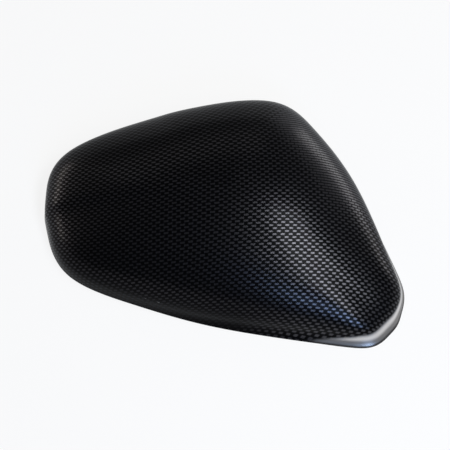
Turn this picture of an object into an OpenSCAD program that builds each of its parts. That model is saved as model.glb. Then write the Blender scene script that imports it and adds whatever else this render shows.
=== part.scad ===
// Clip-on outer cover of a car's wing mirror: one thin moulded shell with a
// doubly curved crown, a tight roll-over into the side wall and a flared lip
// at the foot of the root end. Inside are snap hooks, locating pins and ribs.
// It lies rim down: the rim plane is z = 0, +X is the root end, +Z is out.

/* [Cover] */
// Overall length of the rim outline, tip to root
cover_length = 238; // [190:1:290]
// Overall width of the rim outline
cover_width = 172; // [140:1:210]
// Height of the crown above the rim plane
crown_height = 53; // [44:1:66]
// Depth that the crown levels out to past the ends
edge_depth = 12; // [12:1:20]
// Radius of the crown along the cover
crown_radius_x = 170; // [145:5:260]
// Radius of the crown across the cover
crown_radius_y = 130; // [115:5:220]
// Thickness of the moulded wall
wall = 2.5; // [2:0.1:3.5]

/* [Rim] */
// Reach of the flared lip at the foot corner
lip_reach = 5.5; // [2:0.5:8]
// Height over which the lip flares out of the wall
lip_height = 9; // [7:0.5:10]
// Reach of the fine bead round the rest of the rim
bead_reach = 0.8; // [0.4:0.1:1.5]
// Rounding of the outer rim edge
edge_round = 0.6; // [0.3:0.1:0.8]
// Width of the rebate that the mirror housing fits in
rebate_width = 1; // [0.5:0.1:1.4]
// Height of the rebate
rebate_height = 4; // [2.5:0.5:4]

/* [Snap hooks] */
// Gap between the side wall and a hook's tongue
hook_gap = 7; // [5:0.5:10]
// Width of a tongue
hook_width = 12; // [8:1:16]
// Thickness of a tongue
hook_thickness = 2; // [1.6:0.1:3]
// How far a tongue's end stays above the rim plane
hook_end = 2; // [1:0.5:3]
// Reach of the barb
barb_reach = 2; // [1:0.5:3]
// Height of the barb
barb_height = 4.5; // [3.5:0.5:6]
// Thickness of the gussets and ribs
rib_thickness = 1.6; // [1.2:0.1:2.4]
// Height of the gussets' lower edge above the rim plane
gusset_start = 10; // [8:1:13]

/* [Locating pins] */
// Distance between the two pins
pin_spacing = 104; // [80:2:124]
// Radius of a pin
pin_radius = 3; // [2:0.5:4]
// Height of the pins' ends above the rim plane
pin_end = 7; // [4:1:14]
// Length of a pin, below the crossed ribs that carry it
pin_length = 18; // [12:1:20]
// Reach of the crossed ribs under the crown
pin_rib_reach = 9; // [6:1:12]

/* [Hidden] */

// Corners of the outline, clockwise from the top of the tip end. Each has
// its place, the lengths of its soft bend before and after it, the
// squareness of the roll-over there and its share of the lip.
corners = [
    [-120, 62.5, 37, 73, 4.2, 0],
    [40, 103.5, 64, 36, 4.9, 0],
    [119, -37.5, 22, 14.5, 3.4, 0.4],
    [95.5, -77, 15, 26, 3.1, 1],
    [-110.5, -28.5, 57, 39, 2.8, 0]
];
// How far each side bows out between its two corners
bows = [3, 11.5, 5.5, 9.5, 6.5];
// Share of the lip at the middle of each side
side_lips = [0, 0, 1, 0.4, 0];
// Centre that the walls roll over towards
hub = [3, 14];
// Highest point of the crown
summit = [-5, 21];

span_steps = 5;
wall_levels = [0.22, 0.45, 0.72];
crown_rings = 15;

function unit(v) = v / norm(v);
function left(v) = [-v[1], v[0]];
function flat(p) = [p[0], p[1]];

// Middle of the side after a corner, moved outwards by the side's bow.
function middle(c, i) = let (
    p = flat(c[i]),
    q = flat(c[(i + 1) % len(c)])
) (p + q) / 2 + left(unit(q - p)) * bows[i];

// Four control points for each corner: before it, on it and after it, and
// the middle of the side that follows. The bends lie on straight lines from
// the corner to the middles beside it, so the outline is convex.
function control(c) = let (n = len(c)) [
    for (i = [0 : n - 1])
        let (
            p = flat(c[i]),
            mid = middle(c, i),
            back = unit(middle(c, (i + n - 1) % n) - p),
            on = unit(mid - p),
            rest = [c[i][4], c[i][5]]
        )
        each [
            concat(p + back * c[i][2], rest),
            concat(p, rest),
            concat(p + on * c[i][3], rest),
            concat(mid, [(c[i][4] + c[(i + 1) % n][4]) / 2, side_lips[i]])
        ]
];

// Closed uniform cubic B-spline through a list of control points.
function spline(c, steps) = let (n = len(c)) [
    for (i = [0 : n - 1], j = [0 : steps - 1])
        let (t = j / steps)
        (
            (1 - t) ^ 3 * c[(i + n - 1) % n]
            + (3 * t ^ 3 - 6 * t ^ 2 + 4) * c[i]
            + (1 + 3 * t + 3 * t ^ 2 - 3 * t ^ 3) * c[(i + 1) % n]
            + t ^ 3 * c[(i + 2) % n]
        ) / 6
];

raw = spline(control(corners), span_steps);
count = len(raw);
stations = [0 : count - 1];
raw_low = [min([for (p = raw) p[0]]), min([for (p = raw) p[1]])];
raw_high = [max([for (p = raw) p[0]]), max([for (p = raw) p[1]])];
fit = [
    cover_length / (raw_high[0] - raw_low[0]),
    cover_width / (raw_high[1] - raw_low[1])
];
function fitted(p) = [
    (p[0] - (raw_low[0] + raw_high[0]) / 2) * fit[0],
    (p[1] - (raw_low[1] + raw_high[1]) / 2) * fit[1]
];

// The rim outline, its outward directions and the foot of the wall, which
// stands inside the rim by the lip.
rim = [for (p = raw) fitted(p)];
outward = [
    for (i = stations)
        left(unit(rim[(i + 1) % count] - rim[(i + count - 1) % count]))
];
lip = [for (p = raw) bead_reach + (lip_reach - bead_reach) * p[3]];
foot = [for (i = stations) rim[i] - lip[i] * outward[i]];
roll = [for (p = raw) p[2]];
centre = fitted(hub);
peak = fitted(summit);

// Depth of the crown over a point of the plan.
function depth(p) = let (
    drop = (p[0] - peak[0]) ^ 2 / (2 * crown_radius_x)
        + (p[1] - peak[1]) ^ 2 / (2 * crown_radius_y),
    rise = crown_height - edge_depth
) edge_depth + rise * exp(-drop / rise);

// Squared circle that shapes the roll-over: reach and height at an angle.
function roll_size(a, n) = (cos(a) ^ n + sin(a) ^ n) ^ (1 / n);
function roll_reach(a, n) = cos(a) / roll_size(a, n);
function roll_height(a, n) = sin(a) / roll_size(a, n);
function wall_reach(h, n) = (1 - h ^ n) ^ (1 / n);

// Point of the outer skin of a station, without the lip, on a level of the
// wall or on a ring of the crown.
function plan(i, reach) = centre + (foot[i] - centre) * reach;
function skin_level(i, z) = concat(
    plan(i, wall_reach(z / depth(foot[i]), roll[i])), z
);
function skin_ring(i, j) = let (
    h = lip_height / depth(foot[i]),
    start = atan2(h, wall_reach(h, roll[i])),
    a = start + (90 - start) * j / crown_rings,
    p = plan(i, roll_reach(a, roll[i]))
) concat(p, depth(p) * roll_height(a, roll[i]));

skin = concat(
    [for (z = concat(0, wall_levels)) [for (i = stations) skin_level(i, z * lip_height)]],
    [for (j = [0 : crown_rings - 1]) [for (i = stations) skin_ring(i, j)]]
);
top = concat(centre, depth(centre));
rings = len(skin);

function above(j, i) = j < rings - 1 ? skin[j + 1][i] : top;
function normal(j, i) = j == 0 ? concat(outward[i], 0) : unit(cross(
    above(j, i) - skin[j - 1][i],
    skin[j][(i + 1) % count] - skin[j][(i + count - 1) % count]
));

// The lip flares out of the wall as its height over the rim falls.
function flare(i, z) = z >= lip_height ? 0
    : lip[i] * ((lip_height - max(z, edge_round)) / (lip_height - edge_round)) ^ 2.2;
function flared(i, p) = p + flare(i, p[2]) * concat(outward[i], 0);

// One ring of the shell, a given way under the outer skin.
function ring(j, under) = [
    for (i = stations)
        let (p = skin[j][i], q = p - under * normal(j, i))
        flared(i, [q[0], q[1], max(q[2], p[2] - under, 0)])
];
function rim_ring(under, z) = [
    for (i = stations) concat(rim[i] - under * outward[i], z)
];

outer_rings = [for (j = [rings - 1 : -1 : 1]) ring(j, 0)];
inner_rings = [for (j = [3 : 2 : rings - 1]) ring(j, wall)];
seat_ring = [
    for (i = stations) let (p = skin_level(i, rebate_height))
        flared(i, p - (wall - rebate_width) * concat(outward[i], 0))
];
step_ring = [
    for (i = stations) let (p = skin_level(i, rebate_height + 0.4))
        flared(i, p - wall * concat(outward[i], 0))
];

// Closed skin over a stack of rings with a point at each end.
module skinned(stack, first, last) {
    n = len(stack[0]);
    m = len(stack);
    points = concat([first], [for (s = stack) each s], [last]);
    cap = [for (i = [0 : n - 1]) [0, 1 + i, 1 + (i + 1) % n]];
    sides = [
        for (j = [0 : m - 2], i = [0 : n - 1])
            let (
                a = 1 + j * n + i,
                b = 1 + j * n + (i + 1) % n
            )
            each [[a, a + n, b + n], [a, b + n, b]]
    ];
    base = 1 + (m - 1) * n;
    close = [for (i = [0 : n - 1]) [len(points) - 1, base + (i + 1) % n, base + i]];
    polyhedron(points = points, faces = concat(cap, sides, close), convexity = 6);
}

// Outer skin down to the rim, across it and up the inside of the wall.
module shell() {
    skinned(
        concat(
            outer_rings,
            [rim_ring(0, edge_round), rim_ring(edge_round, 0)],
            [rim_ring(wall - rebate_width, 0), seat_ring, step_ring],
            inner_rings
        ),
        top,
        top - [0, 0, wall]
    );
}

// Height of the outer skin over a point of the plan: the ray from the centre
// through the point gives the station and the share of the way to its foot.
function skin_height(q) = let (
    v = q - centre,
    k = [
        for (i = stations)
            let (a = foot[i] - centre, b = foot[(i + 1) % count] - centre)
            if (cross(a, v) <= 0 && cross(v, b) < 0 && a * v > 0) i
    ][0],
    a = foot[k] - centre,
    b = foot[(k + 1) % count] - centre,
    s = min(cross(v, b - a) / cross(a, b - a), 1)
) depth(q) * wall_reach(s, roll[k]);

// Height of the middle of the wall over a point of the plan.
function seat_height(q) = let (
    e = 0.5,
    gx = (skin_height(q + [e, 0]) - skin_height(q - [e, 0])) / (2 * e),
    gy = (skin_height(q + [0, e]) - skin_height(q - [0, e])) / (2 * e)
) skin_height(q) - wall / 2 * sqrt(1 + gx ^ 2 + gy ^ 2);

// A place inside the cover: its origin in the plan and its X direction. Y is
// to the left of X, and both lie in the rim plane.
function on_wall(i) = [foot[i] - wall * outward[i], -outward[i]];
function in_plan(place, x, y) =
    place[0] + x * place[1] + y * left(place[1]);

// Upper edge of what stands under the crown, inside its wall, at each reach
// along X, or at each step along Y.
function edge_along(place, reaches, y = 0) =
    [for (x = reaches) [x, seat_height(in_plan(place, x, y))]];
function edge_across(place, x, steps) =
    [for (y = steps) [y, seat_height(in_plan(place, x, y))]];

module at(place) {
    translate([place[0][0], place[0][1], 0])
        rotate(atan2(place[1][1], place[1][0]))
            children();
}

// Upright plate along X, from its profile of reach and height.
module plate(profile, thickness) {
    rotate([90, 0, 0])
        linear_extrude(thickness, center = true)
            polygon(profile);
}

// Height on the wall where its roll-over begins, and where a gusset starts.
function wall_top(i) = 0.36 * depth(foot[i]);
function wall_start(i, z) = min(z, 0.26 * depth(foot[i]));

// Snap hook: a tongue with a barb at its end, and a gusset near each edge
// that ties it to the wall.
module hook(i) {
    place = on_wall(i);
    front = hook_gap + hook_thickness;
    half = hook_width / 2;
    start = wall_start(i, gusset_start);
    at(place) {
        translate([hook_gap + hook_thickness / 2, 0, 0])
            rotate([90, 0, 90])
                linear_extrude(hook_thickness, center = true)
                    polygon(concat(
                        [[half, hook_end], [-half, hook_end]],
                        edge_across(place, hook_gap + hook_thickness / 2, [-half, 0, half])
                    ));
        plate([
            [front - 0.5, hook_end],
            [front, hook_end],
            [front + barb_reach, hook_end + barb_height * 0.6],
            [front + barb_reach, hook_end + barb_height * 0.75],
            [front, hook_end + barb_height],
            [front - 0.5, hook_end + barb_height]
        ], hook_width - 1);
        for (y = [-1, 1] * (half - rib_thickness))
            translate([0, y, 0])
                plate(concat(
                    [
                        [hook_gap + hook_thickness / 2, start + 2],
                        [0, start],
                        [-wall / 2, start],
                        [-wall / 2, wall_top(i)]
                    ],
                    edge_along(place, [0.6, 2, 4, hook_gap + hook_thickness / 2], y)
                ), rib_thickness);
    }
}

// Short rib that stiffens the corner between wall and crown.
module wall_rib(i) {
    place = on_wall(i);
    start = wall_start(i, gusset_start - 3);
    at(place)
        plate(concat(
            [
                [hook_gap, start + 5],
                [0, start],
                [-wall / 2, start],
                [-wall / 2, wall_top(i)]
            ],
            edge_along(place, [0.6, 2, 4, hook_gap])
        ), rib_thickness);
}

// Round locating pin on two crossed ribs, which run 1 mm down into it.
module pin(q) {
    top = seat_height(q);
    root = pin_end + pin_length;
    inside = pin_radius - 0.5;
    translate([q[0], q[1], pin_end])
        cylinder(r = pin_radius, h = pin_length, $fn = 48);
    for (way = [[1, 0], [0, 1]])
        at([q, way])
            plate(concat(
                [
                    [pin_rib_reach, top - 5],
                    [inside, root],
                    [inside - 0.5, root - 1],
                    [0.5 - inside, root - 1],
                    [-inside, root],
                    [-pin_rib_reach, top - 5]
                ],
                edge_along([q, way], [-1, -0.5, 0, 0.5, 1] * pin_rib_reach)
            ), rib_thickness);
}

// Stations of the hooks and of the wall ribs, as shares of the way round.
hook_places = [0.1, 0.19, 0.33, 0.39, 0.71, 0.79, 0.96];
rib_places = [0.145, 0.24, 0.36, 0.75];

pin_places = [
    for (side = [-1, 1]) centre + [side * pin_spacing / 2, 0]
];

module fittings() {
    for (s = hook_places) hook(round(s * count));
    for (s = rib_places) wall_rib(round(s * count));
    for (q = pin_places) pin(q);
}

module mirror_cover() {
    color("#17181a") {
        shell();
        fittings();
    }
}

mirror_cover();
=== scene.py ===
"""Wing mirror cover: a clip-on moulded cap with a woven carbon print.

The cap lies rim down on a pale floor, its outer side up, and is looked at
from above its lower long side. Lengths are in metres.
"""

import bpy
import numpy as np
from bpy.props import FloatProperty, FloatVectorProperty, PointerProperty
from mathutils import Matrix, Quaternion, Vector


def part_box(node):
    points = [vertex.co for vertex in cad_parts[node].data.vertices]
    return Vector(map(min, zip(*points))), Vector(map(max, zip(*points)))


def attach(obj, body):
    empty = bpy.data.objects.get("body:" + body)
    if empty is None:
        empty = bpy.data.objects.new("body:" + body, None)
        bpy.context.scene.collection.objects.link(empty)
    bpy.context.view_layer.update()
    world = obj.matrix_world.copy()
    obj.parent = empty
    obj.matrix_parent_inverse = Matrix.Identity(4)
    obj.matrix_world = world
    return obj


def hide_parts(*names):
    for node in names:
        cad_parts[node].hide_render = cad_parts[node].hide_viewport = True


bl_info = {
    "name": "Wing Mirror Cover",
    "version": (1, 0, 0),
    "blender": (4, 5, 0),
    "location": "3D View > Sidebar > Mirror Cover",
    "description": "Builds a moulded wing mirror cover with a carbon print",
    "category": "Add Mesh",
}

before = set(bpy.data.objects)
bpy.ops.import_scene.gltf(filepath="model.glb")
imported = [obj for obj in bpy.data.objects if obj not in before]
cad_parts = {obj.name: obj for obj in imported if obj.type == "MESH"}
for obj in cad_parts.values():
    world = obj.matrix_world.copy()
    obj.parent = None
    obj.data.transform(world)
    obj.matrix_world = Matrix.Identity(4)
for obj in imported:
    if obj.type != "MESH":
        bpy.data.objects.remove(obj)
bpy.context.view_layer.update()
COVER_LOW, COVER_HIGH = (np.array(corner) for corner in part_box("mirror_cover"))
COVER_SIZE = COVER_HIGH - COVER_LOW

# Corners of the rim outline in millimetres, clockwise from the top of the tip
# end: place, bend before and after it, squareness of the roll-over, share of
# the lip. The outline is fitted to the cover's own length and width.
CORNERS = np.array([
    [-120, 62.5, 37, 73, 4.2, 0],
    [40, 103.5, 64, 36, 4.9, 0],
    [119, -37.5, 22, 14.5, 3.4, 0.4],
    [95.5, -77, 15, 26, 3.1, 1],
    [-110.5, -28.5, 57, 39, 2.8, 0],
])
# How far the side after each corner bows out, and its share of the lip.
SIDES = np.array([[3, 0], [11.5, 0], [5.5, 1], [9.5, 0.4], [6.5, 0]])
# Where the rays of the skin meet, and where the crown is highest.
HUB = np.array([3.0, 14.0])
SUMMIT = np.array([-5.0, 21.0])
# Power of the height by which the lip fades.
LIP_POWER = 2.2

# The print is stretched as the shell is dipped. Its cells across and its
# rows are cubic functions of the skin's developed plan in decimetres, for
# x, y, xx, xy, yy, xxx, xxy, xyy and yyy.
PRINT_ACROSS = np.array([37.3, 0.3, 0.5, -0.7, 5.1, 1.2, 0, -2.1, 1.4])
PRINT_ROWS = np.array([6.5, -53.3, 0.7, 5.0, 0.8, -3.2, 1.7, 2.6, 3.6])
DECIMETRES_IN_METRE = 10


# Settings

class CoverShape(bpy.types.PropertyGroup):
    length: FloatProperty(
        name="Length", description="Length of the rim outline",
        default=float(COVER_SIZE[0]), min=0.19, max=0.29, unit="LENGTH")
    width: FloatProperty(
        name="Width", description="Width of the rim outline",
        default=float(COVER_SIZE[1]), min=0.14, max=0.21, unit="LENGTH")
    crown: FloatProperty(
        name="Crown height", description="Height of the crown above the rim",
        default=float(COVER_SIZE[2]), min=0.044, max=0.066, unit="LENGTH")
    edge_depth: FloatProperty(
        name="Edge depth", description="Depth the crown levels out to past the ends",
        default=0.012, min=0.012, max=0.02, unit="LENGTH")
    radius_x: FloatProperty(
        name="Radius along", description="Radius of the crown along the cover",
        default=0.170, min=0.145, max=0.26, unit="LENGTH")
    radius_y: FloatProperty(
        name="Radius across", description="Radius of the crown across the cover",
        default=0.130, min=0.115, max=0.22, unit="LENGTH")
    wall: FloatProperty(
        name="Wall", description="Thickness of the moulded wall",
        default=0.0025, min=0.002, max=0.0035, unit="LENGTH")
    lip_reach: FloatProperty(
        name="Lip reach", description="Reach of the lip at the foot corner",
        default=0.0055, min=0.002, max=0.008, unit="LENGTH")
    lip_height: FloatProperty(
        name="Lip height", description="Height over which the lip flares out",
        default=0.009, min=0.007, max=0.01, unit="LENGTH")
    bead_reach: FloatProperty(
        name="Bead reach", description="Reach of the fine bead round the rim",
        default=0.0008, min=0.0004, max=0.0015, unit="LENGTH")
    edge_round: FloatProperty(
        name="Edge rounding", description="Rounding of the outer rim edge",
        default=0.0006, min=0.0003, max=0.0008, unit="LENGTH")
    rebate_width: FloatProperty(
        name="Rebate width", description="Width of the rebate inside the rim",
        default=0.001, min=0.0005, max=0.0014, unit="LENGTH")
    rebate_height: FloatProperty(
        name="Rebate height", description="Height of the rebate inside the rim",
        default=0.004, min=0.0025, max=0.004, unit="LENGTH")


class HookShape(bpy.types.PropertyGroup):
    gap: FloatProperty(
        name="Gap", description="Gap between the side wall and a tongue",
        default=0.007, unit="LENGTH")
    width: FloatProperty(
        name="Width", description="Width of a tongue", default=0.012, unit="LENGTH")
    thickness: FloatProperty(
        name="Thickness", description="Thickness of a tongue",
        default=0.002, unit="LENGTH")
    end: FloatProperty(
        name="End", description="Height of a tongue's end above the rim plane",
        default=0.002, unit="LENGTH")
    barb_reach: FloatProperty(
        name="Barb reach", description="Reach of the barb",
        default=0.002, unit="LENGTH")
    barb_height: FloatProperty(
        name="Barb height", description="Height of the barb",
        default=0.0045, unit="LENGTH")
    rib: FloatProperty(
        name="Rib thickness", description="Thickness of gussets and ribs",
        default=0.0016, unit="LENGTH")
    gusset_start: FloatProperty(
        name="Gusset start", description="Height where the gussets start",
        default=0.010, unit="LENGTH")
    pin_spacing: FloatProperty(
        name="Pin spacing", description="Distance between the locating pins",
        default=0.104, unit="LENGTH")
    pin_radius: FloatProperty(
        name="Pin radius", description="Radius of a locating pin",
        default=0.003, unit="LENGTH")
    pin_end: FloatProperty(
        name="Pin end", description="Height of the pins' ends above the rim plane",
        default=0.007, unit="LENGTH")
    pin_length: FloatProperty(
        name="Pin length", description="Length of a pin below its crossed ribs",
        default=0.018, unit="LENGTH")
    pin_rib_reach: FloatProperty(
        name="Pin rib reach", description="Reach of the crossed ribs",
        default=0.009, unit="LENGTH")


class PrintLook(bpy.types.PropertyGroup):
    ground: FloatVectorProperty(
        name="Ground", description="Colour of the print between its strands",
        default=(0.0008, 0.0008, 0.001), subtype="COLOR", size=3, min=0, max=1)
    strand: FloatVectorProperty(
        name="Strand", description="Colour of the silvery strands",
        default=(0.052, 0.051, 0.056), subtype="COLOR", size=3, min=0, max=1)
    lip: FloatVectorProperty(
        name="Lip", description="Colour of the silvery lip where the print ends",
        default=(0.6, 0.57, 0.54), subtype="COLOR", size=3, min=0, max=1)
    strand_length: FloatProperty(
        name="Strand length", description="Length of a strand in cells",
        default=1.02, min=0.6, max=1.9)
    strand_width: FloatProperty(
        name="Strand width", description="Width of a strand in rows",
        default=0.6, min=0.3, max=1.0)
    bare: FloatVectorProperty(
        name="Bare plastic", description="Colour of the unpainted inner side",
        default=(0.018, 0.018, 0.019), subtype="COLOR", size=3, min=0, max=1)


class StageLook(bpy.types.PropertyGroup):
    floor: FloatVectorProperty(
        name="Floor", description="Colour of the floor",
        default=(0.88, 0.88, 0.88), subtype="COLOR", size=3, min=0, max=1)
    glow: FloatProperty(
        name="Glow", description="Share of plain white in the floor as it is seen",
        default=0.86, min=0, max=1)
    sky: FloatProperty(
        name="Room light", description="Brightness of the room", default=0.1, min=0)
    key: FloatProperty(
        name="Key light", description="Power of the long soft lamp on the right",
        default=7.4, min=0, unit="POWER")
    cool: FloatProperty(
        name="Cool light", description="Power of the small cool lamp beside it",
        default=3.8, min=0, unit="POWER")
    side: FloatProperty(
        name="Side light", description="Power of the low lamp behind the root end",
        default=11.0, min=0, unit="POWER")
    fill: FloatProperty(
        name="Fill light", description="Power of the low lamp behind the tip end",
        default=8.0, min=0, unit="POWER")
    back: FloatProperty(
        name="Back light", description="Power of the wide lamp behind the cover",
        default=0.9, min=0, unit="POWER")


# Shape of the skin

def unit(v):
    """Vectors divided by their lengths."""
    return v / np.linalg.norm(v, axis=-1, keepdims=True)


def left(v):
    """Plan vectors turned a quarter turn to the left."""
    return np.stack([-v[..., 1], v[..., 0]], axis=-1)


def ramp(v, start, end):
    """0 up to start, 1 from end on, and even between them."""
    return np.clip((v - start) / (end - start), 0, 1)


def eased(v):
    """A ramp's values with soft ends."""
    return v ** 2 * (3 - 2 * v)


def outline_controls():
    """Four control points a corner: before it, on it, after it, and the
    middle of the side that follows, moved outwards by the side's bow. The
    bends lie on straight lines from the corner to the middles beside it."""
    place = CORNERS[:, :2]
    after = np.roll(place, -1, axis=0)
    middle = (place + after) / 2 + left(unit(after - place)) * SIDES[:, :1]
    back = unit(np.roll(middle, 1, axis=0) - place)
    on = unit(middle - place)
    rest = CORNERS[:, 4:]
    middle_roll = (CORNERS[:, 4] + np.roll(CORNERS[:, 4], -1)) / 2
    return np.stack([
        np.hstack([place + back * CORNERS[:, 2:3], rest]),
        np.hstack([place, rest]),
        np.hstack([place + on * CORNERS[:, 3:4], rest]),
        np.hstack([middle, np.stack([middle_roll, SIDES[:, 1]], axis=-1)]),
    ], axis=1).reshape(-1, 4)


def closed_spline(controls, steps):
    """Closed uniform cubic B-spline, with the given steps in each span."""
    t = (np.arange(steps) / steps)[None, :, None]
    a, b, c, d = (np.roll(controls, k, axis=0)[:, None] for k in (1, 0, -1, -2))
    points = (
        (1 - t) ** 3 * a + (3 * t ** 3 - 6 * t ** 2 + 4) * b
        + (1 + 3 * t + 3 * t ** 2 - 3 * t ** 3) * c + t ** 3 * d
    ) / 6
    return points.reshape(-1, controls.shape[1])


class Skin:
    """The cover's outer skin. Each station of the rim outline is joined to
    the centre by a ray. Along a ray the plan runs from the foot of the wall
    to the centre by a squared circle's reach, and the height is the crown's
    depth there times the squared circle's height. The crown's depth is the
    edge depth plus the rest times the exponential of minus the drop of a
    paraboloid. The lip flares out of the wall by a power of the height."""

    def __init__(self, shape, steps):
        self.shape = shape
        raw = closed_spline(outline_controls(), steps)
        low, high = raw[:, :2].min(axis=0), raw[:, :2].max(axis=0)
        fit = np.array([shape.length, shape.width]) / (high - low)
        self.rim = (raw[:, :2] - (low + high) / 2) * fit
        self.centre = (HUB - (low + high) / 2) * fit
        self.summit = (SUMMIT - (low + high) / 2) * fit
        self.roll = raw[:, 2]
        self.outward = left(unit(
            np.roll(self.rim, -1, axis=0) - np.roll(self.rim, 1, axis=0)))
        share = raw[:, 3]
        self.lip = shape.bead_reach + (shape.lip_reach - shape.bead_reach) * share
        self.foot = self.rim - self.lip[:, None] * self.outward
        self.count = len(self.rim)

    def depth(self, place):
        """Depth of the crown over plan points."""
        drop = ((place[..., 0] - self.summit[0]) ** 2 / (2 * self.shape.radius_x)
                + (place[..., 1] - self.summit[1]) ** 2 / (2 * self.shape.radius_y))
        rise = self.shape.crown - self.shape.edge_depth
        return self.shape.edge_depth + rise * np.exp(-drop / rise)

    def plan(self, reach):
        """Plan points on all rays, by the share of the way to the foot."""
        return self.centre + (self.foot - self.centre) * reach[..., None]

    def wall(self, heights):
        """Points of the wall at given heights, one row for each height."""
        z = np.asarray(heights)[:, None]
        reach = (1 - (z / self.depth(self.foot)) ** self.roll) ** (1 / self.roll)
        return np.concatenate(
            [self.plan(reach), np.broadcast_to(z, reach.shape)[..., None]], axis=-1)

    def crown(self, rings):
        """Rings from the top of the lip to just short of the centre, at even
        angles of the squared circle."""
        h = self.shape.lip_height / self.depth(self.foot)
        start = np.arctan2(h, (1 - h ** self.roll) ** (1 / self.roll))
        share = (np.arange(rings) / rings)[:, None]
        angle = start + (np.pi / 2 - start) * share
        size = (np.cos(angle) ** self.roll + np.sin(angle) ** self.roll) ** (1 / self.roll)
        place = self.plan(np.cos(angle) / size)
        height = self.depth(place) * np.sin(angle) / size
        return np.concatenate([place, height[..., None]], axis=-1)

    def rows(self, heights, rings):
        """Rows of the skin from the rim up, without the lip's flare."""
        return np.concatenate([self.wall(heights), self.crown(rings)])

    def top(self):
        """Point of the skin over its centre."""
        return np.append(self.centre, self.depth(self.centre))

    def normals(self, rows):
        """Cross product of the steps up the skin and along it."""
        stack = np.concatenate(
            [rows, np.broadcast_to(self.top(), (1,) + rows.shape[1:])])
        up = np.empty_like(rows)
        up[1:] = stack[2:] - stack[:-2]
        up[0] = (0, 0, 1)
        along = np.roll(rows, -1, axis=1) - np.roll(rows, 1, axis=1)
        return unit(np.cross(up, along))

    def flare(self, rows):
        """Moves rows outwards by the lip, which fades with height."""
        low = self.shape.edge_round
        high = self.shape.lip_height
        fade = np.clip((high - np.maximum(rows[..., 2], low)) / (high - low), 0, 1)
        moved = rows.copy()
        moved[..., :2] += (self.lip * fade ** LIP_POWER)[..., None] * self.outward
        return moved

    def rim_row(self, under, height):
        """Row at one height, set in from the rim by the first number."""
        place = self.rim - under * self.outward
        return np.column_stack([place, np.full(self.count, height)])[None]

    def height(self, place):
        """Height of the outer skin over plan points: the ray through each
        gives its station and its share of the way to the foot."""
        v = np.atleast_2d(place) - self.centre
        a = self.foot - self.centre
        b = np.roll(a, -1, axis=0)
        side_a = a[:, 0] * v[:, None, 1] - a[:, 1] * v[:, None, 0]
        side_b = v[:, None, 0] * b[:, 1] - v[:, None, 1] * b[:, 0]
        ahead = (v[:, None] * a).sum(axis=-1) > 0
        hit = (side_a <= 0) & (side_b < 0) & ahead
        k = hit.argmax(axis=1)
        edge = b[k] - a[k]
        across = v[:, 0] * edge[:, 1] - v[:, 1] * edge[:, 0]
        whole = a[k, 0] * edge[:, 1] - a[k, 1] * edge[:, 0]
        share = np.minimum(across / whole, 1)
        roll = self.roll[k]
        return self.depth(v + self.centre) * (1 - share ** roll) ** (1 / roll)

    def seat(self, place):
        """Height of the middle of the wall over plan points."""
        place = np.atleast_2d(place)
        step = 0.0005
        gx, gy = (
            (self.height(place + way) - self.height(place - way)) / (2 * step)
            for way in ((step, 0), (0, step)))
        slope = np.sqrt(1 + gx ** 2 + gy ** 2)
        return self.height(place) - self.shape.wall / 2 * slope


def print_map(skin, rows):
    """Cells across and rows of the print at each point. The skin is laid
    flat about its centre by the length of arc along each ray, and cubic
    functions of that plan give the two counts."""
    stack = np.concatenate(
        [rows, np.broadcast_to(skin.top(), (1,) + rows.shape[1:])])
    steps = np.linalg.norm(np.diff(stack, axis=0), axis=-1)
    arc = np.cumsum(steps[::-1], axis=0)[::-1]
    flat = arc[..., None] * unit(skin.foot - skin.centre)
    x, y = np.moveaxis(flat * DECIMETRES_IN_METRE, -1, 0)
    terms = np.stack([
        x, y, x * x, x * y, y * y, x ** 3, x * x * y, x * y * y, y ** 3], axis=-1)
    return np.stack([terms @ PRINT_ACROSS, terms @ PRINT_ROWS], axis=-1)


# Meshes

def add_mesh(name, points, faces, materials, slots=None, smooth=True):
    """Object at the origin from arrays of points and faces."""
    mesh = bpy.data.meshes.new(name)
    mesh.from_pydata(points.tolist(), [], faces)
    for material in materials:
        mesh.materials.append(material)
    if slots is not None:
        mesh.polygons.foreach_set("material_index", np.asarray(slots, dtype=np.int32))
    mesh.polygons.foreach_set("use_smooth", np.full(len(faces), smooth))
    mesh.update()
    piece = bpy.data.objects.new(name, mesh)
    bpy.context.scene.collection.objects.link(piece)
    return piece


def grid_faces(rows, columns):
    """Quads between rows of a closed ring of columns."""
    j, i = np.meshgrid(np.arange(rows - 1), np.arange(columns), indexing="ij")
    a = j * columns + i
    b = j * columns + (i + 1) % columns
    return np.stack([a, b, b + columns, a + columns], axis=-1).reshape(-1, 4)


def round_rings(reaches, heights, sides):
    """Rings of points about the height axis, one for each reach and height."""
    a = np.arange(sides) * 2 * np.pi / sides
    ring = np.column_stack([np.cos(a), np.sin(a)])
    return np.concatenate([
        np.column_stack([reach * ring, np.full(sides, height)])
        for reach, height in zip(reaches, heights)])


def prism(profile, thickness):
    """Plate along X from a profile of reach and height, its thickness on Y."""
    profile = np.asarray(profile)
    n = len(profile)
    sides = np.repeat([-thickness / 2, thickness / 2], n)
    points = np.column_stack(
        [np.tile(profile[:, 0], 2), sides, np.tile(profile[:, 1], 2)])
    i = np.arange(n)
    walls = np.stack([i, (i + 1) % n, (i + 1) % n + n, i + n], axis=-1).tolist()
    return points, [list(range(n))[::-1], list(range(n, 2 * n))] + walls


def upright(profile, thickness, reach):
    """Plate across X from a profile along Y and height."""
    points, faces = prism(profile, thickness)
    points = points[:, [1, 0, 2]]
    points[:, 0] += reach
    return points, [face[::-1] for face in faces]


def stand(place, part, shift=0.0):
    """Turns and moves a part from its place's own axes into the plan."""
    points, faces = part
    origin, way = place
    turned = origin + points[:, :1] * way + (points[:, 1:2] + shift) * left(way)
    return np.column_stack([turned, points[:, 2]]), faces


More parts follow.
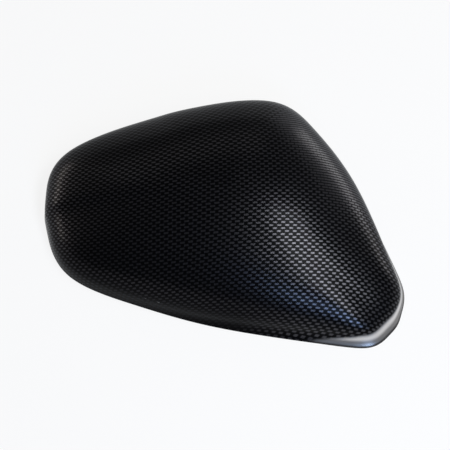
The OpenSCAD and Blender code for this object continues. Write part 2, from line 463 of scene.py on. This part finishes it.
def joined(parts):
    """One list of points and faces from several parts."""
    points, faces, start = [], [], 0
    for part_points, part_faces in parts:
        points.append(part_points)
        faces += [[start + k for k in face] for face in part_faces]
        start += len(part_points)
    return np.concatenate(points), faces


def finish_piece(piece, bevel=0.0):
    """Softens the edges and ties the piece to the model's body."""
    if bevel:
        modifier = piece.modifiers.new("Soft edges", "BEVEL")
        modifier.width = bevel
        modifier.segments = 2
        modifier.limit_method = "ANGLE"
    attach(piece, "root")


# Materials

BARE_PLASTIC = "bare moulded plastic"


class Value:
    """A socket with the arithmetic that the materials need."""

    def __init__(self, shader, socket):
        self.shader, self.socket = shader, socket

    def _math(self, operation, *values):
        return self.shader.node(
            "ShaderNodeMath", {"operation": operation}, dict(enumerate(values)))

    def __add__(self, other):
        return self._math("ADD", self, other)

    __radd__ = __add__

    def __sub__(self, other):
        return self._math("SUBTRACT", self, other)

    def __rsub__(self, other):
        return self._math("SUBTRACT", other, self)

    def __mul__(self, other):
        return self._math("MULTIPLY", self, other)

    def __abs__(self):
        return self._math("ABSOLUTE", self)

    def rounded(self):
        """The nearest whole number."""
        return self._math("ROUND", self)

    def wrapped(self, period):
        """What is left over after whole periods, never below 0."""
        return self._math("FLOORED_MODULO", self, period)

    def largest(self, other):
        """The larger of two numbers."""
        return self._math("MAXIMUM", self, other)

    def fade(self, start, end):
        """0 at start and 1 at end, with a smooth run between them."""
        return self.shader.node(
            "ShaderNodeMapRange", {"interpolation_type": "SMOOTHSTEP"},
            {"Value": self, "From Min": start, "From Max": end})


class Shader:
    """A material's nodes, each made by one call."""

    def __init__(self, name):
        self.material = bpy.data.materials.new(name)
        self.material.use_nodes = True
        self.tree = self.material.node_tree
        self.tree.nodes.clear()

    def node(self, kind, settings=None, inputs=None, output=0):
        """One node with its settings and inputs, as the value it gives."""
        made = self.tree.nodes.new(kind)
        for key, value in (settings or {}).items():
            setattr(made, key, value)
        for key, value in (inputs or {}).items():
            if isinstance(value, Value):
                self.tree.links.new(value.socket, made.inputs[key])
            else:
                made.inputs[key].default_value = value
        return Value(self, made.outputs[output])

    def mix(self, factor, first, second):
        """Colour between two colours."""
        return self.node(
            "ShaderNodeMix", {"data_type": "RGBA"}, {0: factor, 6: first, 7: second},
            output=2)

    def noise(self, where, scale, detail):
        return self.node(
            "ShaderNodeTexNoise", {},
            {"Vector": where, "Scale": scale, "Detail": detail, "Roughness": 0.5})

    def bump(self, height, strength, distance):
        return self.node(
            "ShaderNodeBump", {},
            {"Height": height, "Strength": strength, "Distance": distance})

    def place(self):
        return self.node("ShaderNodeTexCoord", output="Object")

    def parts(self, vector):
        """The three numbers of a vector."""
        made = self.node("ShaderNodeSeparateXYZ", {}, {"Vector": vector})
        return [Value(self, output) for output in made.socket.node.outputs]

    def attribute(self, name):
        """A number that the mesh holds for each of its points."""
        return self.node("ShaderNodeAttribute", {"attribute_name": name}, output="Fac")

    def close(self, surface):
        """Ties the surface to the material, and returns the material."""
        end = self.tree.nodes.new("ShaderNodeOutputMaterial")
        self.tree.links.new(surface.socket, end.inputs["Surface"])
        return self.material


def colour(vector):
    """Three numbers of a colour, made opaque."""
    return (*vector, 1.0)


def strands(s, look, uv, stretched):
    """1 on the strands of the print and 0 between them. A strand lies on
    every second cell of its row, and each row starts one cell on. Its ends
    and sides are a little ragged."""
    # In cells: sway of the rows, growth of a strand at each end where it is
    # drawn out, and raggedness of its ends and sides.
    sway, growth, ragged_end, ragged_side = 0.5, 0.5, 0.35, 0.1
    # Where the ends and the sides fade, measured from the strand's outline.
    end_fade, side_fade = (-0.22, 0.2), (-0.14, 0.12)

    across, row, _ = s.parts(uv)
    across = across + (s.noise(uv, 0.09, 1.0) - 0.5) * sway
    row_index = row.rounded()
    off_row = abs(row - row_index)
    off_cell = abs((across - row_index + 1.0).wrapped(2.0) - 1.0)
    fray = s.noise(uv, 2.6, 2.0) - 0.5
    half_length = look.strand_length / 2 + stretched * growth
    half_width = look.strand_width / 2
    past_end = (off_cell - half_length + fray * ragged_end).fade(*end_fade)
    past_side = (off_row + fray * ragged_side).fade(
        *(half_width + edge for edge in side_fade))
    return (1.0 - past_end) * (1.0 - past_side)


def lip_painted_light(s):
    """Painted light on the lip: its brightness rises with the height in two
    steps, from a painted dark edge at the foot through mid grey to a
    painted highlight streak.
    """
    edge, lower, upper = 0.06, 0.32, 0.62
    height = s.parts(s.place())[2]
    return (edge + height.fade(0.0009, 0.0019) * lower
            + height.fade(0.0028, 0.0048) * upper)


def printed_skin(look):
    """Silvery strands in a brick pattern on a black ground, under a clear
    coat that shows most where the skin turns away. Towards the rim on the
    long sides, strands and coat are darker: painted shade for the dark
    surroundings they mirror there. The silver lip carries a painted dark
    edge and a painted highlight streak above it."""
    s = Shader("carbon print under clear coat")
    uv = s.node("ShaderNodeUVMap", {"uv_map": "print"})
    lip, rim_shade = s.attribute("lip_band"), s.attribute("thin_print")
    strand = strands(s, look, uv, s.attribute("long_strand")) * (1.0 - lip)
    # Random tone of the print, darkened towards the rim on the long sides by painted shade
    # for the dark surroundings the strands mirror there.
    tone_and_rim_shade = (0.72 + s.noise(uv, 0.6, 1.0) * 0.56) * (1.0 - rim_shade * 0.9)
    tint = s.mix(strand * tone_and_rim_shade, colour(look.ground), colour(look.strand))
    # The silver lip is scaled by painted light: a painted dark edge and a painted
    # highlight streak above it.
    tint = s.mix(lip * lip_painted_light(s), tint, colour(look.lip))
    peel = s.noise(s.place(), 160.0, 1.0)
    facing = s.node("ShaderNodeLayerWeight", {}, {"Blend": 0.5}, output="Facing")
    # The painted rim shade also thins the coat there, so the rim mirrors less.
    coat = 0.045 - rim_shade * 0.02
    turned_coat = 0.19 - rim_shade * 0.15
    # The grey specular tint keeps strands dark where the skin turns away.
    return s.close(s.node("ShaderNodeBsdfPrincipled", {}, {
        "Base Color": tint,
        "Metallic": strand.largest(lip * 0.7),
        "Roughness": 0.42 - strand * 0.14 - lip * 0.12,
        "Specular IOR Level": 0.035,
        "Specular Tint": (0.56, 0.58, 0.6, 1.0),
        "Normal": s.bump(peel, 0.05, 0.0004),
        "Coat Weight": coat + facing.fade(0.2, 0.75) * turned_coat,
        "Coat Roughness": 0.16,
        "Coat IOR": 1.5,
        "IOR": 1.45,
    }))


def bare_plastic(look):
    """Satin black plastic as it comes from the mould, finely grained. It is
    made once and used by all pieces."""
    if BARE_PLASTIC in bpy.data.materials:
        return bpy.data.materials[BARE_PLASTIC]
    s = Shader(BARE_PLASTIC)
    where = s.place()
    grain = s.noise(where, 900.0, 2.0)
    cloud = s.noise(where, 35.0, 3.0)
    base = s.mix(cloud, colour(look.bare), colour([1.7 * c for c in look.bare]))
    return s.close(s.node("ShaderNodeBsdfPrincipled", {}, {
        "Base Color": base,
        "Roughness": 0.42 + cloud * 0.16,
        "Normal": s.bump(grain, 0.25, 0.0003),
    }))


# Operators

class COVER_OT_shell(bpy.types.Operator):
    """Adds the moulded shell: printed skin outside, bare plastic inside"""
    bl_idname = "cover.shell"
    bl_label = "Shell"

    # Steps in each span of the outline, rings over the crown on either side,
    # rows over the lip on either side, and rows round the outer rim edge.
    steps = 22
    outer_rings, inner_rings = 104, 50
    outer_rows, inner_rows, edge_rows = 12, 6, 4
    # Rise of the rebate's upper edge, and bevel of the inner rim edge.
    rebate_rise, bevel = 0.0004, 0.0003

    def execute(self, context):
        shape, look = context.scene.cover_shape, context.scene.cover_print
        skin = Skin(shape, self.steps)
        heights = np.linspace(
            shape.edge_round, shape.lip_height, self.outer_rows + 1)[:-1]
        rows = skin.rows(heights, self.outer_rings)
        outer, edge = skin.flare(rows), self.rim_edge(skin)
        stack = np.concatenate([outer[::-1], edge, self.inner_side(skin)])
        n_rows, count = stack.shape[:2]
        top = skin.top()
        points = np.concatenate([
            stack.reshape(-1, 3), [top], [top - (0, 0, shape.wall)]])

        apex, under = len(points) - 2, len(points) - 1
        i = np.arange(count)
        after, last = (i + 1) % count, (n_rows - 1) * count
        sides = grid_faces(n_rows, count)
        cap = np.stack([np.full(count, apex), after, i], axis=-1)
        close = np.stack([np.full(count, under), last + i, last + after], axis=-1)
        printed = (len(outer) + len(edge) - 1) * count
        slots = np.concatenate([
            np.arange(len(sides)) >= printed, np.zeros(count), np.ones(count)])
        piece = add_mesh(
            "cover_shell", points, sides.tolist() + cap.tolist() + close.tolist(),
            [printed_skin(look), bare_plastic(look)], slots)

        index = np.empty(len(piece.data.loops), dtype=np.int32)
        piece.data.loops.foreach_get("vertex_index", index)
        uv = self.spread(print_map(skin, rows), n_rows)
        layer = piece.data.uv_layers.new(name="print")
        layer.data.foreach_set("uv", uv[index].ravel())
        for name, values in self.bands(skin, outer).items():
            attribute = piece.data.attributes.new(name, "FLOAT", "POINT")
            values = self.spread(values[..., None], n_rows)
            attribute.data.foreach_set("value", values.ravel())
        finish_piece(piece)
        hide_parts("mirror_cover")
        return {"FINISHED"}

    def rim_edge(self, skin):
        """Rows of the rounding from the outer skin down to the rim plane."""
        size = skin.shape.edge_round
        turn = np.linspace(0, np.pi / 2, self.edge_rows + 1)[1:]
        return np.concatenate([
            skin.rim_row(size * (1 - np.cos(a)), size * (1 - np.sin(a)))
            for a in turn])

    def inner_side(self, skin):
        """Rows from the rim plane up the rebate and over the inner skin, which
        lies a wall's thickness under the outer one along its normals."""
        shape = skin.shape
        rebate_top = shape.rebate_height + self.rebate_rise
        low = np.linspace(rebate_top, shape.lip_height, self.inner_rows + 2)[1:-1]
        base = skin.rows(low, self.inner_rings)
        inner = (base - shape.wall * skin.normals(base))[1:]
        seat_width = shape.wall - shape.rebate_width
        seat = skin.wall([shape.rebate_height, rebate_top])
        seat[0, :, :2] -= seat_width * skin.outward
        seat[1, :, :2] -= shape.wall * skin.outward
        return np.concatenate([
            skin.rim_row(seat_width - self.bevel, 0.0),
            skin.rim_row(seat_width, self.bevel),
            skin.flare(np.concatenate([seat, inner]))])

    @staticmethod
    def spread(values, n_rows):
        """Values of the outer rows for all points: the rows below the rim
        take its values, and the two middle points take none."""
        rest = np.repeat(values[:1], n_rows - len(values), axis=0)
        stack = np.concatenate([values[::-1], rest]).reshape(-1, values.shape[-1])
        return np.concatenate([stack, np.zeros((2, values.shape[-1]))])

    @staticmethod
    def bands(skin, outer):
        """How the print changes over the skin, from 0 to 1: the silvery lip
        at the foot corner, the painted shade that darkens the print towards
        the rim on the long sides, and the strands that grow longer round the
        root end."""
        # Height of the lip and its blur, and the heights up to which painted
        # shade darkens the print on the upper and on the lower long side.
        lip_top, lip_blur = 0.0067, 0.0013
        rim_shade_top_upper, rim_shade_top_lower = 0.075, 0.05

        x, y = skin.rim.T
        outward_x, outward_y = skin.outward.T
        height = outer[..., 2]
        silver = ramp(x, 0.05, 0.09) * ramp(-y, 0, 0.035)
        lip = (eased(ramp(lip_top * silver - height, -lip_blur, lip_blur))
               * np.clip(silver * 3, 0, 1))
        # Painted shade: strands and coat darken towards the rim on the long sides, away
        # from the root end, for the dark surroundings they mirror there.
        rim_shade_top = np.where(outward_y > 0, rim_shade_top_upper, rim_shade_top_lower)
        rim_shade = (eased(ramp(height, rim_shade_top, 0)) * np.abs(outward_y)
                * ramp(x, 0.055, 0.01))
        share = (np.linalg.norm(outer[..., :2] - skin.centre, axis=-1)
                 / np.linalg.norm(skin.foot - skin.centre, axis=-1))
        stretched = (eased(ramp(share, 0.56, 0.76)) * ramp(outward_x, 0.2, 0.7)
                     * eased(ramp(outer[..., 1], -0.022, 0.018)))
        return {"lip_band": lip, "thin_print": rim_shade, "long_strand": stretched}


# Shares of the way round the rim, clockwise from the top of the tip end.
HOOK_PLACES = (0.1, 0.19, 0.33, 0.39, 0.71, 0.79, 0.96)
RIB_PLACES = (0.145, 0.24, 0.36, 0.75)


class Inside:
    """Places and upper edges for what stands inside the cover."""

    # Steps in each span of the outline as in the solid, so that hooks and
    # ribs stand in the same places.
    steps = 5
    # Shares of the crown's depth where a corner plate starts at most, and
    # where it leaves the wall.
    start_share, leave_share = 0.26, 0.36
    # First points of a corner plate's upper edge, from the wall inwards.
    near_wall = (0.0006, 0.002, 0.004)
    # Softening of the edges.
    soft_edge = 0.00025

    def __init__(self, context):
        self.shape = context.scene.cover_shape
        self.hooks = context.scene.cover_hooks
        self.look = context.scene.cover_print
        self.skin = Skin(self.shape, self.steps)

    def on_wall(self, share):
        """Place on the wall's inner face with its way inwards, and the depth
        of the crown there."""
        i = round(share * self.skin.count)
        way = -self.skin.outward[i]
        start = self.skin.foot[i] + self.shape.wall * way
        deep = float(self.skin.depth(self.skin.foot[i]))
        return (start, way), deep

    def edge_along(self, place, reaches, y=0.0):
        """Upper edge of a plate that runs inwards from a place."""
        plan = place[0] + np.outer(reaches, place[1]) + y * left(place[1])
        return np.column_stack([reaches, self.skin.seat(plan)])

    def edge_across(self, place, reach, steps):
        """Upper edge of a plate that stands across a place's way inwards."""
        plan = place[0] + reach * place[1] + np.outer(steps, left(place[1]))
        return np.column_stack([steps, self.skin.seat(plan)])

    def corner_plate(self, place, deep, start, rise, end, y=0.0):
        """Plate in the corner between wall and crown. Its lower edge rises
        from its start on the wall to its end."""
        root = -self.shape.wall / 2
        start = min(start, self.start_share * deep)
        foot = [[end, start + rise], [0, start], [root, start],
                [root, self.leave_share * deep]]
        edge = self.edge_along(place, np.array([*self.near_wall, end]), y)
        return stand(place, prism(np.concatenate([foot, edge]), self.hooks.rib), y)

    def build(self, name, parts):
        """One piece of bare plastic from its parts."""
        points, faces = joined(parts)
        piece = add_mesh(name, points, faces, [bare_plastic(self.look)], smooth=False)
        finish_piece(piece, self.soft_edge)


class COVER_OT_hooks(bpy.types.Operator):
    """Adds the snap hooks: a barbed tongue and two gussets each"""
    bl_idname = "cover.hooks"
    bl_label = "Snap hooks"

    # Rise of a gusset's lower edge, and depth of the barb's root.
    gusset_rise, barb_root = 0.002, 0.001
    # Shares of the barb's height between which its front is upright.
    front_low, front_high = 0.6, 0.75
    # What the barb is narrower than its tongue.
    barb_margin = 0.001

    def execute(self, context):
        inside = Inside(context)
        hooks = inside.hooks
        half = hooks.width / 2
        middle = hooks.gap + hooks.thickness / 2
        barb = self.barb(hooks)
        parts = []
        for share in HOOK_PLACES:
            place, deep = inside.on_wall(share)
            edge = inside.edge_across(place, middle, np.array([-half, 0, half]))
            tongue = np.concatenate([[[half, hooks.end], [-half, hooks.end]], edge])
            parts.append(stand(place, upright(tongue, hooks.thickness, middle)))
            parts.append(stand(place, prism(barb, hooks.width - self.barb_margin)))
            for side in (-1, 1):
                parts.append(inside.corner_plate(
                    place, deep, hooks.gusset_start, self.gusset_rise, middle,
                    side * (half - hooks.rib)))
        inside.build("snap_hooks", parts)
        return {"FINISHED"}

    def barb(self, hooks):
        """Profile of a barb, with its root inside the tongue."""
        face = hooks.gap + hooks.thickness
        root, front = face - self.barb_root, face + hooks.barb_reach
        high = hooks.barb_height
        return np.array([
            [root, high], [face, high], [front, high * self.front_high],
            [front, high * self.front_low], [face, 0], [root, 0]]) + (0, hooks.end)


class COVER_OT_ribs(bpy.types.Operator):
    """Adds the short ribs in the corner between wall and crown"""
    bl_idname = "cover.ribs"
    bl_label = "Wall ribs"

    # How far the ribs start below the gussets, and rise of their lower edge.
    drop, rise = 0.003, 0.005

    def execute(self, context):
        inside = Inside(context)
        hooks = inside.hooks
        inside.build("wall_ribs", [
            inside.corner_plate(
                *inside.on_wall(share), hooks.gusset_start - self.drop, self.rise,
                hooks.gap)
            for share in RIB_PLACES])
        return {"FINISHED"}


class COVER_OT_pins(bpy.types.Operator):
    """Adds the two locating pins on their crossed ribs"""
    bl_idname = "cover.pins"
    bl_label = "Locating pins"

    # Sides of a pin's round wall.
    sides = 48
    # The crossed ribs meet the end of the pin this far inside its wall, dip
    # into it by the second number, and are as high as the third at their ends.
    inset, dip, end_height = 0.0005, 0.001, 0.005

    def execute(self, context):
        inside = Inside(context)
        hooks = inside.hooks
        root = hooks.pin_end + hooks.pin_length
        reach = hooks.pin_rib_reach
        core = hooks.pin_radius - self.inset
        neck = core - self.inset
        parts = []
        for side in (-1, 1):
            centre = inside.skin.centre + (side * hooks.pin_spacing / 2, 0)
            end = float(inside.skin.seat(centre)[0]) - self.end_height
            foot = [
                [reach, end], [core, root], [neck, root - self.dip],
                [-neck, root - self.dip], [-core, root], [-reach, end]]
            parts.append(self.rod(centre, hooks.pin_radius, hooks.pin_end, root))
            for way in ((1.0, 0.0), (0.0, 1.0)):
                place = (centre, np.array(way))
                edge = inside.edge_along(place, np.array([-1, -0.5, 0, 0.5, 1]) * reach)
                plate = prism(np.concatenate([foot, edge]), hooks.rib)
                parts.append(stand(place, plate))
        inside.build("locating_pins", parts)
        return {"FINISHED"}

    def rod(self, centre, radius, low, high):
        """Round rod with a flat lower and upper end."""
        sides = self.sides
        points = round_rings((radius, radius), (low, high), sides) + (*centre, 0)
        ends = [list(range(sides))[::-1], list(range(sides, 2 * sides))]
        return points, grid_faces(2, sides).tolist() + ends


# Height above the middle of the floor that the lamps face.
LAMP_AIM = 0.03
# Name, power, then azimuth, elevation and turn in degrees, distance, size
# and tint. They stand where the cover mirrors them in the right places.
LAMPS = (
    ("long soft lamp", "key", (-22, 57, 17), 1.0, (0.85, 0.25), (0.93, 0.96, 1.0)),
    ("cool lamp", "cool", (-65, 32, 10), 1.0, (0.3, 0.36), (0.43, 0.62, 1.0)),
    ("low lamp at the root end", "side", (40, 8, 0), 2.4, (1.6, 0.6), (1.0, 0.99, 0.95)),
    ("low lamp at the tip end", "fill", (158, 11, 0), 2.4, (1.8, 0.32), (1.0, 0.9, 0.8)),
    ("wide lamp behind", "back", (108, 40, 0), 1.2, (1.4, 0.4), (1.0, 0.98, 0.94)),
)


class COVER_OT_stage(bpy.types.Operator):
    """Adds the pale floor, the soft lamps, the room light and the camera"""
    bl_idname = "cover.stage"
    bl_label = "Stage"

    def execute(self, context):
        look = context.scene.cover_stage
        self.floor(look)
        self.room(context, look)
        for name, power, angles, distance, size, tint in LAMPS:
            self.lamp(context, name, getattr(look, power), angles, distance, size, tint)
        self.camera(context)
        return {"FINISHED"}

    @staticmethod
    def floor(look):
        """Round floor that curves up into a low wall. It is white to the
        camera and in reflections, yet it keeps shadows."""
        s = Shader("pale floor")
        rays = s.node("ShaderNodeLightPath").socket.node.outputs
        camera, glossy, through = (
            Value(s, rays[name])
            for name in ("Is Camera Ray", "Is Glossy Ray", "Is Transmission Ray"))
        white = camera.largest(glossy).largest(through) * look.glow
        paper = s.node("ShaderNodeBsdfDiffuse", {}, {"Color": colour(look.floor)})
        glow = s.node("ShaderNodeEmission", {}, {"Color": (1, 1, 1, 1), "Strength": 1.0})
        material = s.close(
            s.node("ShaderNodeMixShader", {}, {0: white, 1: paper, 2: glow}))

        # Radii of the inner disc, the flat part and the bend, and the wall.
        sides, middle, flat, bend, wall_top = 96, 1.0, 5, 1, 1.6
        turn = np.linspace(0, np.pi / 2, 9)
        reaches = np.concatenate([[middle], flat + bend * np.sin(turn), [flat + bend]])
        heights = np.concatenate([[0.0], bend * (1 - np.cos(turn)), [wall_top]])
        points = round_rings(reaches, heights, sides)
        faces = grid_faces(len(reaches), sides)[:, ::-1].tolist()
        faces.append(list(range(sides)))
        add_mesh("floor", points, faces, [material])

    @staticmethod
    def room(context, look):
        """Even light from all around."""
        world = bpy.data.worlds.new("studio room")
        world.use_nodes = True
        background = world.node_tree.nodes["Background"]
        background.inputs["Color"].default_value = (1, 1, 1, 1)
        background.inputs["Strength"].default_value = look.sky
        context.scene.world = world

    @staticmethod
    def lamp(context, name, power, angles, distance, size, tint):
        """Soft lamp that faces the cover from an azimuth and an elevation,
        turned about its own axis by the third angle."""
        azimuth, elevation, turn = np.radians(angles)
        flat = np.cos(elevation)
        way = Vector((
            float(np.cos(azimuth) * flat), float(np.sin(azimuth) * flat),
            float(np.sin(elevation))))
        light = bpy.data.lights.new(name, "AREA")
        light.shape = "RECTANGLE"
        light.size, light.size_y = size
        light.energy = power
        light.color = tint
        lamp = bpy.data.objects.new(name, light)
        lamp.location = Vector((0, 0, LAMP_AIM)) + way * distance
        facing = (-way).to_track_quat("-Z", "Y") @ Quaternion((0, 0, 1), float(turn))
        lamp.rotation_euler = facing.to_euler()
        lamp.visible_camera = False
        context.scene.collection.objects.link(lamp)

    @staticmethod
    def camera(context):
        """From above the lower long side, 66 degrees above the floor."""
        target = Vector((0.0022, -0.0111, 0.026))
        elevation, distance = np.radians(66), 0.75
        back = Vector((0, -float(np.cos(elevation)), float(np.sin(elevation))))
        data = bpy.data.cameras.new("camera")
        data.sensor_width = 36.0
        data.lens = 93.0
        data.clip_start = 0.01
        camera = bpy.data.objects.new("camera", data)
        camera.location = target + back * distance
        camera.rotation_euler = (-back).to_track_quat("-Z", "Y").to_euler()
        context.scene.collection.objects.link(camera)
        context.scene.camera = camera


class COVER_PT_panel(bpy.types.Panel):
    """Lists the pieces of the cover and its stage"""
    bl_idname = "COVER_PT_panel"
    bl_label = "Mirror Cover"
    bl_space_type = "VIEW_3D"
    bl_region_type = "UI"
    bl_category = "Mirror Cover"

    def draw(self, context):
        for operator in OPERATORS:
            self.layout.operator(operator.bl_idname)
        for name in GROUPS:
            group = getattr(context.scene, name)
            box = self.layout.box()
            for key in group.__annotations__:
                box.prop(group, key)


GROUPS = {
    "cover_shape": CoverShape, "cover_hooks": HookShape,
    "cover_print": PrintLook, "cover_stage": StageLook,
}
OPERATORS = (
    COVER_OT_shell, COVER_OT_hooks, COVER_OT_ribs, COVER_OT_pins, COVER_OT_stage)
CLASSES = (*GROUPS.values(), *OPERATORS, COVER_PT_panel)


def register():
    """Makes the operators, the panel and the settings known to Blender."""
    for cls in CLASSES:
        bpy.utils.register_class(cls)
    for name, group in GROUPS.items():
        setattr(bpy.types.Scene, name, PointerProperty(type=group))


def unregister():
    """Takes the settings, the panel and the operators out again."""
    for name in GROUPS:
        delattr(bpy.types.Scene, name)
    for cls in reversed(CLASSES):
        bpy.utils.unregister_class(cls)


def main():
    """Builds all pieces and the stage."""
    register()
    for operator in OPERATORS:
        name = operator.bl_idname.split(".")[1]
        getattr(bpy.ops.cover, name)()
    bpy.context.scene.view_settings.view_transform = "Standard"
    bpy.context.view_layer.update()


if __name__ == "__main__":
    main()
